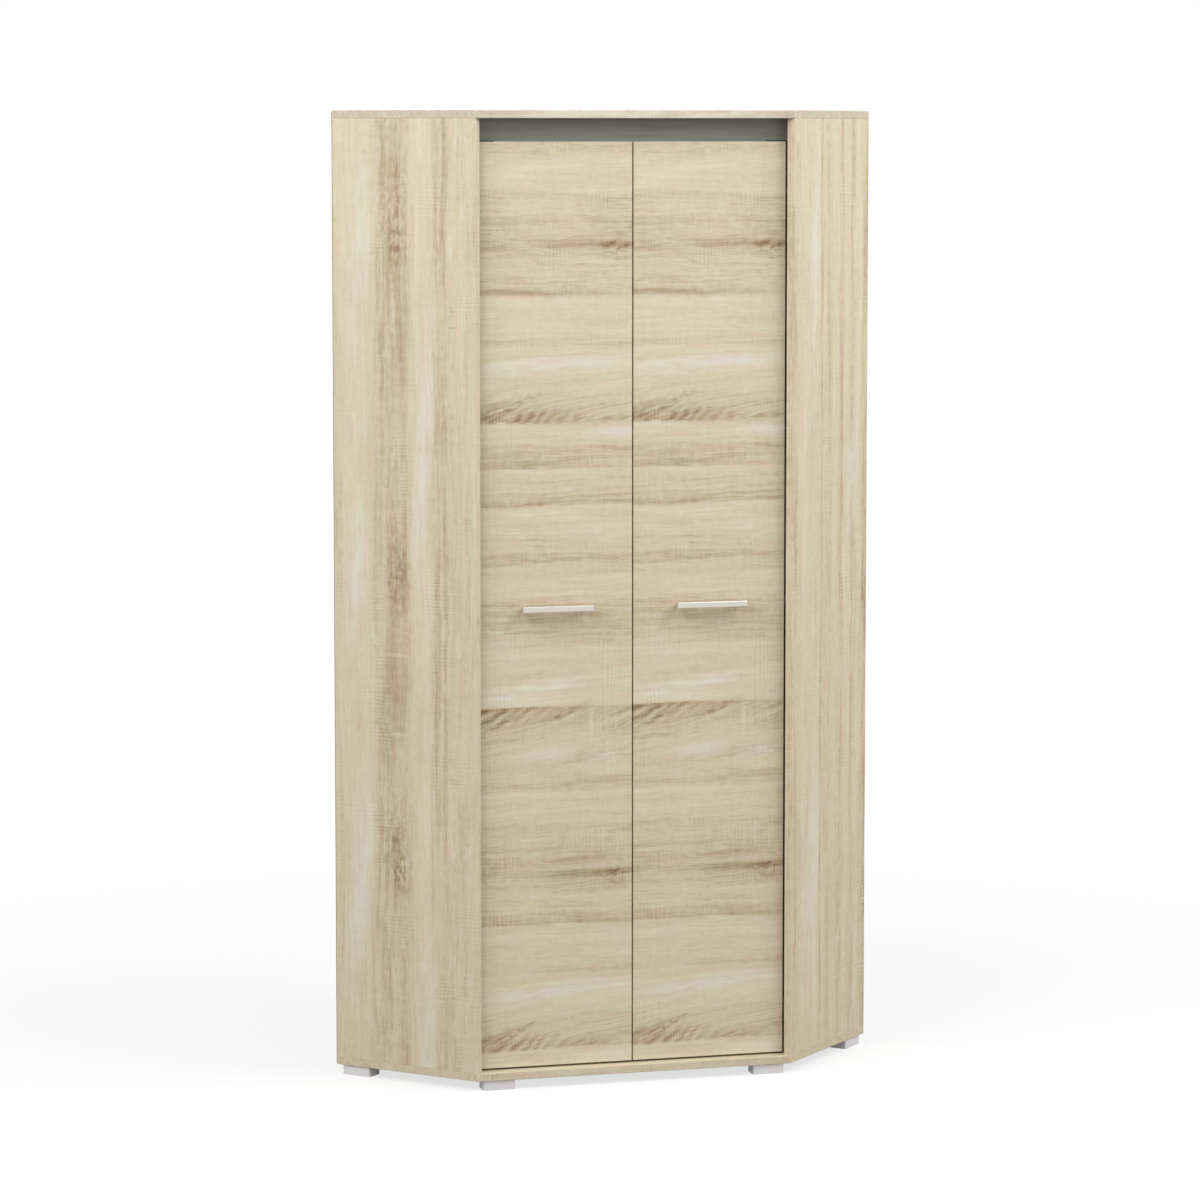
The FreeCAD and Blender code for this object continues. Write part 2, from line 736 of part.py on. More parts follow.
os.makedirs("parts", exist_ok=True)
for name, shape in nodes.items():
    if name in holes:
        shape = shape.cut(holes[name])
    whole = shape.Solids[0] if len(shape.Solids) == 1 else shape
    whole.exportStep(f"parts/{name}.step")
print(len(nodes), "pieces written")
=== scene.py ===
# %% [markdown]
# This lesson dresses a corner wardrobe. Its boards, doors, hinges and fittings are already exact solids, so
# they are loaded as they are and nothing about their size changes. They could be modelled again in Blender,
# but then two models would have to agree. What is left to do here is what a photographer would see: the
# printed oak, the metal, the plastic, the nails in the back, the light and the camera.

# %% Load the wardrobe
import math
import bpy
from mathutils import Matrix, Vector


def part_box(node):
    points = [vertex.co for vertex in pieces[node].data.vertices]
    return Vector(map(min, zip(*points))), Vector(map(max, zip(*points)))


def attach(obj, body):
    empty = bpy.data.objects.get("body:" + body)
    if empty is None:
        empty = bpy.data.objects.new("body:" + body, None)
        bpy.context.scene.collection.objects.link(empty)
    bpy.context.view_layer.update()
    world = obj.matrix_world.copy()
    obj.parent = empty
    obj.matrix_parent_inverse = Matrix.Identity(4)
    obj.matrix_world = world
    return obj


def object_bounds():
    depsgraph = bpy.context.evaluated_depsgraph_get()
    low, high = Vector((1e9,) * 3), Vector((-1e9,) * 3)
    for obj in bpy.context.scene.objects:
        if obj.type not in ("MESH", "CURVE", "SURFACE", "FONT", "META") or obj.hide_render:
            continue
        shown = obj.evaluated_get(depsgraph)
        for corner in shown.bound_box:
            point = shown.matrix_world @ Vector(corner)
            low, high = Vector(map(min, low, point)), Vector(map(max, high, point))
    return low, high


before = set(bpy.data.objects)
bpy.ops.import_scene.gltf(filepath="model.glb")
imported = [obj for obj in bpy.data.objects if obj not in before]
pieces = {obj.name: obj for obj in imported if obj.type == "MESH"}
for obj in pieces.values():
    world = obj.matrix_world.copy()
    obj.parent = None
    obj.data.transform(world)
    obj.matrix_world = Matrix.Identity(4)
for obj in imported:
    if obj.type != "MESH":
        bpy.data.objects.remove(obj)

from types import SimpleNamespace

import bpy
from mathutils import Euler, Matrix, Vector

cad_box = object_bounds()
print(len(pieces), "pieces, box", [tuple(round(v, 4) for v in corner) for corner in cad_box])

# %% [markdown]
# Every finish below is a small tree of shader nodes. By hand each node is dragged out, its values are typed
# and its wires are pulled, which is slow to repeat for seven boards. These helpers do the same in a line
# each. Colours are written as they look on screen, from 0 to 255, and turned into the linear light values
# that the shader works with.

# %% Helpers for shader nodes
MIX_SOCKETS = {"FLOAT": (2, 3, 0), "RGBA": (6, 7, 2)}    # the mix node's two inputs and its output


def screen(red, green, blue):
    """Linear colour from the 0 to 255 values seen on screen."""
    linear = []
    for value in (red, green, blue):
        share = value / 255.0
        linear.append(share / 12.92 if share < 0.04045 else ((share + 0.055) / 1.055) ** 2.4)
    return (*linear, 1.0)


def add(tree, kind, inputs=None, **settings):
    """Put a node in the tree, set its options and fill or wire its inputs."""
    node = tree.nodes.new("ShaderNode" + kind)
    for name, value in settings.items():
        setattr(node, name, value)
    for name, value in (inputs or {}).items():
        if isinstance(value, bpy.types.NodeSocket):
            tree.links.new(value, node.inputs[name])
        else:
            node.inputs[name].default_value = value
    return node


def calc(tree, operation, *values):
    """One step of arithmetic."""
    return add(tree, "Math", dict(enumerate(values)), operation=operation).outputs[0]


def remap(tree, value, start, end, low, high):
    """Smooth step between two values, flat outside them."""
    inputs = {"Value": value, "From Min": start, "From Max": end, "To Min": low, "To Max": high}
    return add(tree, "MapRange", inputs, interpolation_type="SMOOTHSTEP").outputs[0]


def mix(tree, share, first, second, kind="RGBA", blend="MIX"):
    """Blend two colours or two numbers by a share."""
    first_socket, second_socket, result = MIX_SOCKETS[kind]
    inputs = {"Factor": share, first_socket: first, second_socket: second}
    return add(tree, "Mix", inputs, data_type=kind, blend_type=blend).outputs[result]


def ramp(tree, factor, stops):
    """Colour ramp through pairs of position and colour."""
    node = add(tree, "ValToRGB", {"Fac": factor})
    elements = node.color_ramp.elements
    elements[0].position = 0.0
    elements[1].position = 1.0
    for position, _ in stops[1:-1]:
        elements.new(position)
    for element, (position, colour) in zip(elements, stops):
        element.position = position
        element.color = colour
    return node.outputs["Color"]


print("a grey of 128 on screen is", round(screen(128, 128, 128)[0], 3), "in linear light")

# %% [markdown]
# Wood, brushed metal and pressed fibre share one kind of pattern: noise drawn out in one direction. A scanned
# picture of each could be used instead, but it is fixed at one size and repeats, while noise stays sharp on
# any board. The helpers here make such noise, start a material, raise its surface and put it on pieces.

# %% Helpers for finishes
MOST_NOISE = (0.3, 0.7)  # nearly all values of a noise lie between these


def grain(tree, place, along, across, detail=3.0, rough=0.55):
    """Noise drawn out along the grain: features a metre along and across it, and how fine they break up."""
    stretched = add(tree, "VectorMath", {0: place, 1: (along, across, across)}, operation="MULTIPLY")
    inputs = {"Vector": stretched.outputs[0], "Scale": 1.0, "Detail": detail, "Roughness": rough}
    return add(tree, "TexNoise", inputs).outputs[0]


def centred(tree, noise):
    """Noise that swings round zero."""
    return calc(tree, "SUBTRACT", noise, 0.5)


def new_finish(name, **sockets):
    """Material whose shader has these constant values."""
    material = bpy.data.materials.new(name)
    material.use_nodes = True
    shader = material.node_tree.nodes["Principled BSDF"]
    for socket, value in sockets.items():
        shader.inputs[socket.replace("_", " ")].default_value = value
    return material, material.node_tree, shader


def raise_surface(tree, shader, height, strength, distance):
    """Let noise stand up from the surface a little, distance in metres."""
    bump = add(tree, "Bump", {"Strength": strength, "Distance": distance, "Height": height})
    tree.links.new(bump.outputs[0], shader.inputs["Normal"])


def wear(material, *names):
    """Give CAD pieces a finish."""
    for name in names:
        pieces[name].data.materials.clear()
        pieces[name].data.materials.append(material)


print("helpers ready for", len(pieces), "pieces")

# %% [markdown]
# The boards are chipboard under a printed sheet that imitates sawn oak. A print has a direction, so each
# board needs its own axes: x runs along the grain and y across it, from a corner of the board. They could be
# drawn as a UV map, but a board is flat, and a turned Mapping node says the same without unwrapping. The
# doors carry the sheet sideways and the sides carry it upright.

# %% Axes of the printed sheet
EAST = Vector((1.0, 0.0, 0.0))
NORTH = Vector((0.0, 1.0, 0.0))
DOWN = Vector((0.0, 0.0, -1.0))
TO_REAR_RIGHT = (EAST + NORTH).normalized()
TO_FRONT_RIGHT = (EAST - NORTH).normalized()


def sheet_place(tree, corner=Vector(), along=EAST, across=NORTH):
    """Object coordinates measured on the print, from a corner of the piece."""
    turn = Matrix((along, across, along.cross(across))).transposed().to_euler()
    place = add(tree, "TexCoord").outputs["Object"]
    inputs = {"Vector": place, "Location": corner, "Rotation": turn}
    return add(tree, "Mapping", inputs, vector_type="TEXTURE").outputs[0]


print("the left back runs along", tuple(round(v, 3) for v in TO_REAR_RIGHT))

# %% [markdown]
# The print shows sawn boards side by side, lighter and darker, with a hard edge where two meet. Stripes of
# noise would put them anywhere, so they are written as a list of places and tones instead, and a colour
# ramp draws it. Like wallpaper, the sheet starts again after a fixed length.

# %% Bands of the print
PRINT_REPEAT = 1.259     # metres after which the print starts again
PLAIN = [(0.0, 0.0), (PRINT_REPEAT * 1000.0, 0.0)]


def band_value(tree, across, bands):
    """Value across the print, from pairs of place in millimetres and value from -1 to 1."""
    share = calc(tree, "DIVIDE", calc(tree, "WRAP", across, PRINT_REPEAT, 0.0), PRINT_REPEAT)
    stops = []
    for place, value in bands:
        grey = 0.5 + value / 2.0
        stops.append((place / 1000.0 / PRINT_REPEAT, (grey, grey, grey, 1.0)))
    drawn = add(tree, "SeparateColor", {"Color": ramp(tree, share, stops)}).outputs[0]
    return calc(tree, "MULTIPLY_ADD", drawn, 2.0, -1.0)


print("the print repeats every", PRINT_REPEAT, "metres")

# %% [markdown]
# Real grain is never ruled straight. Before any noise is drawn, the place across the grain is pushed by slow
# noise, so lines drift and ripple, and in some bands it leans so that lines rise to the right. Each noise
# could be bent by itself, but then the layers would slip apart, so one waved place serves them all.

# %% Waving grain
DRIFT = (2.6, 8.0, 2.0)  # a noise: features a metre along and across the grain, and detail
RIPPLE = (11.0, 24.0, 2.0)
EDGE_DRIFT = 0.012       # metres by which board edges, lines and ripples leave the straight
LINE_DRIFT = 0.02
LINE_RIPPLE = 0.012


def lay_sheet(tree, corner, along, across, leans):
    """Places on the print: flat, waving with the grain, and along and across for single figures."""
    flat = sheet_place(tree, corner, along, across)
    length, width, depth = add(tree, "SeparateXYZ", {0: flat}).outputs
    drift = centred(tree, grain(tree, flat, *DRIFT))
    ripple = centred(tree, grain(tree, flat, *RIPPLE))
    edges = calc(tree, "MULTIPLY_ADD", drift, EDGE_DRIFT, width)
    wavy = calc(tree, "MULTIPLY_ADD", drift, LINE_DRIFT, width)
    wavy = calc(tree, "MULTIPLY_ADD", ripple, LINE_RIPPLE, wavy)
    wavy = calc(tree, "MULTIPLY_ADD", band_value(tree, width, leans), length, wavy)
    return SimpleNamespace(
        flat=flat,
        waving=add(tree, "CombineXYZ", {0: length, 1: wavy, 2: depth}).outputs[0],
        length=length,
        edges=edges,
        along=calc(tree, "WRAP", length, PRINT_REPEAT, 0.0),
        across=calc(tree, "WRAP", edges, PRINT_REPEAT, 0.0),
    )


print("lines drift by up to", LINE_DRIFT * 500.0, "mm to each side")

# %% [markdown]
# A saw leaves fine marks across the grain. A sine wave along the board gives their pitch, and noise pushes
# it to and fro so that the marks don't look like a comb. The wave texture node could draw them too, but then
# its own distortion would not follow this print.

# %% Saw marks
SAW_PITCH = 0.0078       # metres from mark to mark
SAW_NOISE = (24.0, 4.0, 2.0)
SAW_WANDER = 24.0        # radians by which noise moves a mark


def saw_wave(tree, sheet):
    """Fine marks across the grain, from -1 to 1."""
    wander = calc(tree, "MULTIPLY", grain(tree, sheet.flat, *SAW_NOISE), SAW_WANDER)
    turns = calc(tree, "MULTIPLY", sheet.length, 2.0 * math.pi / SAW_PITCH)
    return calc(tree, "SINE", calc(tree, "ADD", turns, wander))


print("saw marks every", SAW_PITCH * 1000.0, "mm")

# %% [markdown]
# The grain is built up from coarse to fine: bands, long streaks, mottle, lines, fibres and saw marks. Each
# could have a colour of its own, but a printer's ink also goes on one sheet, and one tone is easier to judge
# than many colours. The strengths say how much each layer adds to that tone.

# %% Grain over a whole board
FADE, FADE_RANGE = (4.0, 22.0, 2.0), (0.3, 0.6, 0.15, 0.8)    # a noise, and from which values to which
SAWN, SAWN_RANGE = (9.0, 14.0, 2.0), (0.5, 0.68, 0.0, 1.0)
STREAKS = (1.8, 55.0, 4.0)
MOTTLE = (80.0, 40.0, 3.0)
GRAIN_STRENGTHS = {
    "bands": 0.5, "streaks": 0.36, "mottle": 0.22, "lines": 0.18, "fibres": 0.4, "saw_marks": 0.05,
}


def grain_layers(tree, sheet, bands, lines, fibres, saw):
    """Tones that cover the board, each with its strength."""
    fade = remap(tree, grain(tree, sheet.waving, *FADE), *FADE_RANGE)
    sawn = remap(tree, grain(tree, sheet.flat, *SAWN), *SAWN_RANGE)
    tones = {
        "bands": calc(tree, "MULTIPLY", band_value(tree, sheet.edges, bands), fade),
        "streaks": centred(tree, grain(tree, sheet.waving, *STREAKS)),
        "mottle": centred(tree, grain(tree, sheet.waving, *MOTTLE)),
        "lines": calc(tree, "MULTIPLY", lines, fade),
        "fibres": fibres,
        "saw_marks": calc(tree, "MULTIPLY", saw, sawn),
    }
    return [(tone, GRAIN_STRENGTHS[name]) for name, tone in tones.items()]


print("grain layers:", ", ".join(GRAIN_STRENGTHS))

# %% [markdown]
# Knots, pale patches and the ends of boards are single figures, and the eye looks for them first. Each is an
# oval in which a noise shows: a distance is measured from its middle, stretched to its reach, and faded out.
# A painted mask would do as well, but an oval of four numbers is easy to move.

# %% Spots on the print
SPOT_CORE = 0.1          # share of the reach that shows in full
SPOT_RIM = 1.1           # share of the reach at which nothing shows


def spot_tone(tree, along, across, noise, spot):
    """Noise shown round one place; spot is its middle and reach in millimetres, along and across."""
    middle_along, middle_across, reach_along, reach_across = [value / 1000.0 for value in spot]
    side_a = calc(tree, "DIVIDE", calc(tree, "SUBTRACT", along, middle_along), reach_along)
    side_b = calc(tree, "DIVIDE", calc(tree, "SUBTRACT", across, middle_across), reach_across)
    square_b = calc(tree, "MULTIPLY", side_b, side_b)
    away = calc(tree, "SQRT", calc(tree, "MULTIPLY_ADD", side_a, side_a, square_b))
    return calc(tree, "MULTIPLY", remap(tree, away, SPOT_CORE, SPOT_RIM, 1.0, 0.0), noise)


print("spots fade out over", round(SPOT_RIM - SPOT_CORE, 2), "of their reach")

# %% [markdown]
# A flame is where the saw cut across the tree's rings: curved fingers that stand on a board's edge and grow
# shorter to the right. No noise makes them by itself, so a wave is bent by how high a point lies above the
# edge. A flame of negative height hangs from the edge instead.

# %% Flames
FLAME_PITCH = 0.031      # metres from finger to finger
FLAME_TAIL = 0.25        # share of the height that is left at the far end
FLAME_FULL = 0.3         # share of the height up to which fingers show in full
FLAME_LEAN = (2.2, 0.8)  # lean of the fingers at the start, and from the middle on
FLAME_CURVE = 14.0       # how fast the lean grows with height, a metre
FLAME_COUNT = (0.4, 1.0)  # share of the fingers at the start, and from the middle on
FLAME_SWAY = 12.0        # radians by which noise moves a finger
FINGER_SWING, FINGER_MEAN = 0.4, 0.55


def flame_tone(tree, along, across, sway, flame):
    """Curved fingers on a board's edge; flame is start and end along, height and edge in millimetres."""
    start, end, height, edge = [value / 1000.0 for value in flame]
    middle = (start + end) / 2.0
    upright = math.copysign(1.0, height)
    rise = calc(tree, "MULTIPLY", calc(tree, "SUBTRACT", edge, across), upright)
    left = remap(tree, along, start, end, 1.0, FLAME_TAIL)
    level = calc(tree, "DIVIDE", rise, calc(tree, "MULTIPLY", left, abs(height)))
    inside = remap(tree, level, FLAME_FULL, 1.0, 1.0, 0.0)
    inside = calc(tree, "MULTIPLY", inside, calc(tree, "GREATER_THAN", rise, 0.0))
    lean = remap(tree, along, start, middle, *FLAME_LEAN)
    bend = calc(tree, "MULTIPLY", rise, calc(tree, "MULTIPLY_ADD", rise, FLAME_CURVE, lean))
    turns = calc(tree, "MULTIPLY_ADD", bend, -upright, along)
    turns = calc(tree, "MULTIPLY", turns, remap(tree, along, start, middle, *FLAME_COUNT))
    swayed = calc(tree, "MULTIPLY", sway, FLAME_SWAY)
    phase = calc(tree, "MULTIPLY_ADD", turns, 2.0 * math.pi / FLAME_PITCH, swayed)
    fingers = calc(tree, "MULTIPLY_ADD", calc(tree, "SINE", phase), FINGER_SWING, FINGER_MEAN)
    return calc(tree, "MULTIPLY", calc(tree, "MULTIPLY", inside, left), fingers)


print("fingers every", FLAME_PITCH * 1000.0, "mm")

# %% [markdown]
# Each board names its figures by kind. Knots and a flame's long strokes are made of flecks, dark streaks of
# fine lines, saw patches of saw marks, and the end of a board is one pale bar. They could be separate
# materials blended by masks, but as layers of the same tone they keep the grain that runs through them.

# %% Single figures
FLECKS, FLECK_RANGE = (60.0, 110.0, 3.0), (0.42, 0.62, 0.15, 1.0)
SWAY = (12.0, 30.0, 3.0)
STREAK_LIFT = 0.7        # lines swing round zero, and this makes a streak dark all over
STROKE_LEAN = 0.45       # how much a flame's longest line rises along the grain
FIGURE_STRENGTHS = {
    "knots": -0.19, "dark_streaks": -0.13, "saw_patches": 0.065, "board_ends": 0.16, "strokes": -0.26,
    "flames": -0.3,
}


def figure_layers(tree, sheet, figures, lines, saw):
    """Tones of the single figures, each with its strength."""
    flecks = remap(tree, grain(tree, sheet.waving, *FLECKS), *FLECK_RANGE)
    rising = calc(tree, "MULTIPLY_ADD", sheet.along, STROKE_LEAN, sheet.across)
    spots = {
        "knots": (sheet.across, flecks),
        "dark_streaks": (sheet.across, calc(tree, "ADD", lines, STREAK_LIFT)),
        "saw_patches": (sheet.across, saw),
        "board_ends": (sheet.across, 1.0),
        "strokes": (rising, flecks),
    }
    sway = grain(tree, sheet.waving, *SWAY)
    layers = []
    for kind, found in figures.items():
        for figure in found:
            if kind == "flames":
                tone = flame_tone(tree, sheet.along, sheet.across, sway, figure)
            else:
                tone = spot_tone(tree, sheet.along, *spots[kind], figure)
            layers.append((tone, FIGURE_STRENGTHS[kind]))
    return layers


print("kinds of figures:", ", ".join(FIGURE_STRENGTHS))

# %% [markdown]
# Two ramps turn tone into colour: a warm one for plain wood and a greyer one for whitish patches. Most are
# limed patches of the print. On the top's edging they are painted light, which makes its front part lighter
# than the slanted ends. Painting white on top would hide the grain, so the two ramps are mixed and the grain
# shows through both. A faint swing between pink and green keeps the sheet from looking dyed.

# %% Colours of the print
FACE_COLOURS = [
    (0.0, screen(140, 114, 85)),
    (0.25, screen(181, 161, 133)),
    (0.5, screen(210, 197, 172)),
    (0.75, screen(221, 211, 189)),
    (1.0, screen(231, 224, 208)),
]
WHITISH_COLOURS = [
    (0.0, screen(152, 132, 112)),
    (0.25, screen(191, 179, 160)),
    (0.5, screen(216, 209, 194)),
    (0.75, screen(224, 219, 207)),
    (1.0, screen(232, 228, 219)),
]
PINKISH, GREENISH = (1.02, 0.982, 1.005, 1.0), (0.982, 1.018, 0.97, 1.0)
TINT, TINT_COLOURS = (8.0, 40.0, 2.0), [(0.35, PINKISH), (0.65, GREENISH)]
CLOUD = (14.0, 46.0, 4.0, 0.65)
CHANCE_VEIL = (0.54, 0.74, 0.0, 0.6)
LISTED_WHITISH = (0.36, 0.56, 0.15, 0.85)
WHITISH_LEAN = 0.08         # how much a whitish patch rises along the grain
WHITISH_LIFT = 0.05        # how much lighter each whitish patch is, limed print and painted light alike


def whitish_share(tree, sheet, veils):
    """How whitish the print is: a little by chance, more in the listed patches, which on the top's edging are
    painted light.
    """
    cloud = grain(tree, sheet.waving, *CLOUD)
    rising = calc(tree, "MULTIPLY_ADD", sheet.along, WHITISH_LEAN, sheet.across)
    share = remap(tree, cloud, *CHANCE_VEIL)
    patches = remap(tree, cloud, *LISTED_WHITISH)
    for whitish_patch in veils:
        share = calc(tree, "MAXIMUM", share, spot_tone(tree, sheet.along, rising, patches, whitish_patch))
    return share


def print_colour(tree, sheet, tone, colours, veils):
    """Colour from tone, whitish in limed patches and in painted light on the top's edging, and a little
    uneven in hue.
    """
    white = whitish_share(tree, sheet, veils)
    level = calc(tree, "MULTIPLY_ADD", white, WHITISH_LIFT, tone)
    colour = mix(tree, white, ramp(tree, level, colours), ramp(tree, level, WHITISH_COLOURS))
    tint = ramp(tree, grain(tree, sheet.waving, *TINT), TINT_COLOURS)
    return mix(tree, 1.0, colour, tint, blend="MULTIPLY")


print(len(FACE_COLOURS), "plain and", len(WHITISH_COLOURS), "whitish colours")

# %% [markdown]
# Now the parts come together in one material for one board. All boards could share a material, but then the
# print would run on from board to board, and real boards are cut from different stretches of it. The fibres
# also change the gloss and stand up a hair's breadth, as the press leaves them.

# %% Printed oak
MID_TONE = 0.515
PRINT_GLOSS = 0.18
FIBRES = (36.0, 380.0, 3.0, 0.6)
LINES, LINE_RANGE = (6.0, 120.0, 3.0), (0.38, 0.64, -0.5, 0.5)
FIBRE_ROUGHNESS = (-0.2, 0.2, 0.68, 0.56)


def oak(name, corner, along, across, colours=FACE_COLOURS, bands=PLAIN, leans=PLAIN, veils=(), **figures):
    """Printed oak for one board, from a corner and the print's two directions."""
    material, tree, shader = new_finish(name, Specular_IOR_Level=PRINT_GLOSS)
    sheet = lay_sheet(tree, corner, along, across, leans)
    lines = remap(tree, grain(tree, sheet.waving, *LINES), *LINE_RANGE)
    fibres = centred(tree, grain(tree, sheet.waving, *FIBRES))
    saw = saw_wave(tree, sheet)
    layers = grain_layers(tree, sheet, bands, lines, fibres, saw)
    layers += figure_layers(tree, sheet, figures, lines, saw)
    tone = MID_TONE
    for layer, strength in layers:
        tone = calc(tree, "MULTIPLY_ADD", layer, strength, tone)
    tree.links.new(print_colour(tree, sheet, tone, colours, veils), shader.inputs["Base Color"])
    tree.links.new(remap(tree, fibres, *FIBRE_ROUGHNESS), shader.inputs["Roughness"])
    raise_surface(tree, shader, fibres, strength=0.12, distance=0.0004)
    return material


print("oak ready, with a mid tone of", MID_TONE)

# %% [markdown]
# On both doors the grain lies sideways. The bands are read downwards from the door's top edge: a pale field,
# a dark line with a knot at its right end, a board edge, a flame that rises from the left, then quieter
# boards around the handle. Noise alone could not place them, so they are listed in millimetres. Each door
# starts at its own corner, so both show the same stretch of print, as they do on the real one.

# %% Oak on the doors
DOOR_BANDS = [
    (0, 0.1), (18, -0.25), (40, 0.3), (96, 0.2), (110, -0.3), (124, 0.0), (166, -0.35), (190, -0.25),
    (198, -0.7), (212, -0.2), (262, 0.05), (300, -0.5), (306, 0.3), (384, 0.2), (396, -0.25), (408, 0.3),
    (456, 0.3), (553, -0.3), (557, 0.35), (590, 0.25), (606, -0.2), (642, -0.42), (647, 0.35),
    (716, -0.38), (726, 0.5), (834, -0.32), (866, 0.3), (952, -0.35), (1010, 0.3), (1118, 0.4),
    (1124, -0.35), (1259, 0.1),
]
DOOR_LEANS = [
    (0, 0.0), (390, 0.0), (470, 0.1), (552, 0.4), (555, 0.0), (1010, 0.0), (1122, 0.06), (1125, 0.22),
    (1236, 0.06), (1259, 0.0),
]
DOOR_VEILS = [
    (150, 453, 260, 24), (280, 598, 100, 20), (40, 1103, 60, 20), (145, 1091, 90, 16), (135, 1231, 80, 24),
    (265, 1246, 70, 18),
]
DOOR_FIGURES = {
    "knots": [(280, 203, 60, 12), (285, 216, 40, 30)],
    "flames": [(0, 310, 64, 556), (0, 230, -58, 1123)],
    "saw_patches": [(266, 1088, 70, 50), (30, 1103, 60, 28)],
    "board_ends": [(231, 1160, 6, 42)],
    "dark_streaks": [(210, 1034, 260, 13), (80, 1060, 190, 11), (230, 996, 180, 11)],
    "strokes": [(60, 552, 110, 9), (50, 1177, 80, 9), (28, 1156, 50, 9), (180, 1216, 70, 10)],
}
DOOR_PRINT = {"bands": DOOR_BANDS, "leans": DOOR_LEANS, "veils": DOOR_VEILS, **DOOR_FIGURES}

door_corners = {side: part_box(side + "_door_panel") for side in ("left", "right")}
for side, (low, high) in door_corners.items():
    corner = Vector((low.x, low.y, high.z))
    wear(oak(f"oak_{side}_door", corner, EAST, DOWN, **DOOR_PRINT), side + "_door_panel")
    print(side, "door is", tuple(round(v, 4) for v in high - low))

# %% [markdown]
# The side panels stand between the top and bottom boards with the grain upright. The left one shows a dark
# streak with knots between two pale bands, and the right one is plainer and striped. On the world's axes the
# print would stretch, because these panels stand at 45 degrees, so its axes follow the slanted walls.

# %% Oak on the sides
LEFT_BANDS = [
    (0, -0.1), (24, 0.1), (40, 0.3), (88, 0.25), (104, -0.1), (122, -0.3), (176, -0.35), (190, 0.1),
    (206, 0.35), (232, 0.3), (246, -0.2), (264, -0.2), (269, -0.5), (276, 0.0), (330, 0.1), (1259, -0.1),
]
LEFT_PRINT = {
    "bands": LEFT_BANDS,
    "veils": [(260, 90, 280, 42), (640, 273, 380, 26), (900, 130, 200, 36)],
    "knots": [(180, 152, 130, 50), (255, 164, 60, 34), (905, 160, 120, 46)],
    "board_ends": [(1068, 150, 5, 46), (1228, 156, 5, 36)],
    "dark_streaks": [(1110, 150, 210, 40), (1150, 246, 160, 16)],
}
RIGHT_BANDS = [
    (0, 0.1), (18, -0.3), (36, 0.15), (60, 0.35), (84, 0.1), (104, 0.35), (126, 0.25), (132, -0.5),
    (142, 0.2), (168, -0.15), (190, 0.3), (214, 0.0), (223, -0.5), (236, 0.2), (256, 0.2), (270, -0.3),
    (300, 0.4), (326, -0.2), (337, -0.45), (1259, 0.0),
]
RIGHT_PRINT = {
    "bands": RIGHT_BANDS,
    "veils": [(280, 120, 300, 36), (760, 330, 260, 36)],
    "knots": [(360, 334, 80, 22), (980, 330, 90, 20)],
}

side_corners = {side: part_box(side + "_side_panel") for side in ("left", "right")}
low, high = side_corners["left"]
corner = Vector((low.x, high.y, high.z))
wear(oak("oak_left_side", corner, DOWN, TO_FRONT_RIGHT, **LEFT_PRINT), "left_side_panel")
low, high = side_corners["right"]
corner = Vector((low.x, low.y, high.z))
wear(oak("oak_right_side", corner, DOWN, TO_REAR_RIGHT, **RIGHT_PRINT), "right_side_panel")
print("sides are", round(high.z - low.z, 4), "metres high")

# %% [markdown]
# The top and bottom boards show mainly their banded edges, with the grain running along them, and the hat
# shelf is cut from the same sheet. The edging of the top is a little greyer. Its front part is also painted
# whiter than the slanted ends, and that whitening is painted light. It could be a strip of its own, but the
# solids have none, so the same print with other colours serves. The sheet starts a little in front of each
# board, so that a patch can lie across its front edge.

# %% Oak on the level boards
EDGE_COLOURS = [
    (0.0, screen(170, 152, 126)),
    (0.5, screen(197, 188, 169)),
    (1.0, screen(236, 230, 216)),
]
# Painted light: whitish patches on the front part of the top's edging, which make it lighter than its slanted
# ends.
EDGE_PAINTED_LIGHT = [(420, 134, 200, 44), (564, 145, 260, 44), (720, 158, 180, 44)]
SHEET_START = 0.1        # metres by which the sheet starts in front of a board
LEVEL_BOARDS = {
    "top_panel": (EDGE_COLOURS, EDGE_PAINTED_LIGHT),
    "bottom_panel": (FACE_COLOURS, ()),
    "hat_shelf": (FACE_COLOURS, ()),
}

# On the top panel the whitish patches are painted light on the front part of its edging.
for name, (colours, veils) in LEVEL_BOARDS.items():
    low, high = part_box(name)
    corner = Vector((low.x, low.y - SHEET_START, high.z))
    wear(oak("oak_" + name, corner, EAST, NORTH, colours, veils=veils), name)
    print(name, "is", round(high.x - low.x, 4), "metres wide")

# %% [markdown]
# The strip above the doors is the same board in a dark grey print. It is nearly plain, with only a hint of
# fibre. Its depth could be painted as a gradient, but it comes from the real shadow under the top board.

# %% Grey fascia
DARK_GREY, MID_GREY = screen(125, 125, 119), screen(137, 137, 131)


def fibre_finish(name, dark, light, along, across, rough, grain_to=EAST, cross_to=NORTH):
    """Two colours mixed by drawn-out noise; along and across are features a metre."""
    material, tree, shader = new_finish(name, Roughness=rough)
    place = sheet_place(tree, Vector(), grain_to, cross_to)
    fibres = grain(tree, place, along, across, detail=4.0, rough=0.6)
    tone = remap(tree, fibres, *MOST_NOISE, 0.0, 1.0)
    tree.links.new(ramp(tree, tone, [(0.0, dark), (1.0, light)]), shader.inputs["Base Color"])
    return material


grey_print = fibre_finish("grey_fascia_print", DARK_GREY, MID_GREY, along=6.0, across=160.0, rough=0.5)
wear(grey_print, "fascia_rail")
print("the fascia wears", grey_print.name)

# %% [markdown]
# The backs are thin fibreboard. The outer face is raw and brown with short pressed fibres, and the inner
# face is painted pale so that the inside looks clean. Two materials would need the faces picked by hand, and
# the solid's mesh is left alone, so one material asks on which side of the sheet's middle a point lies. The
# sheets stand at 45 degrees, and that puts a corner of their box just in that middle.

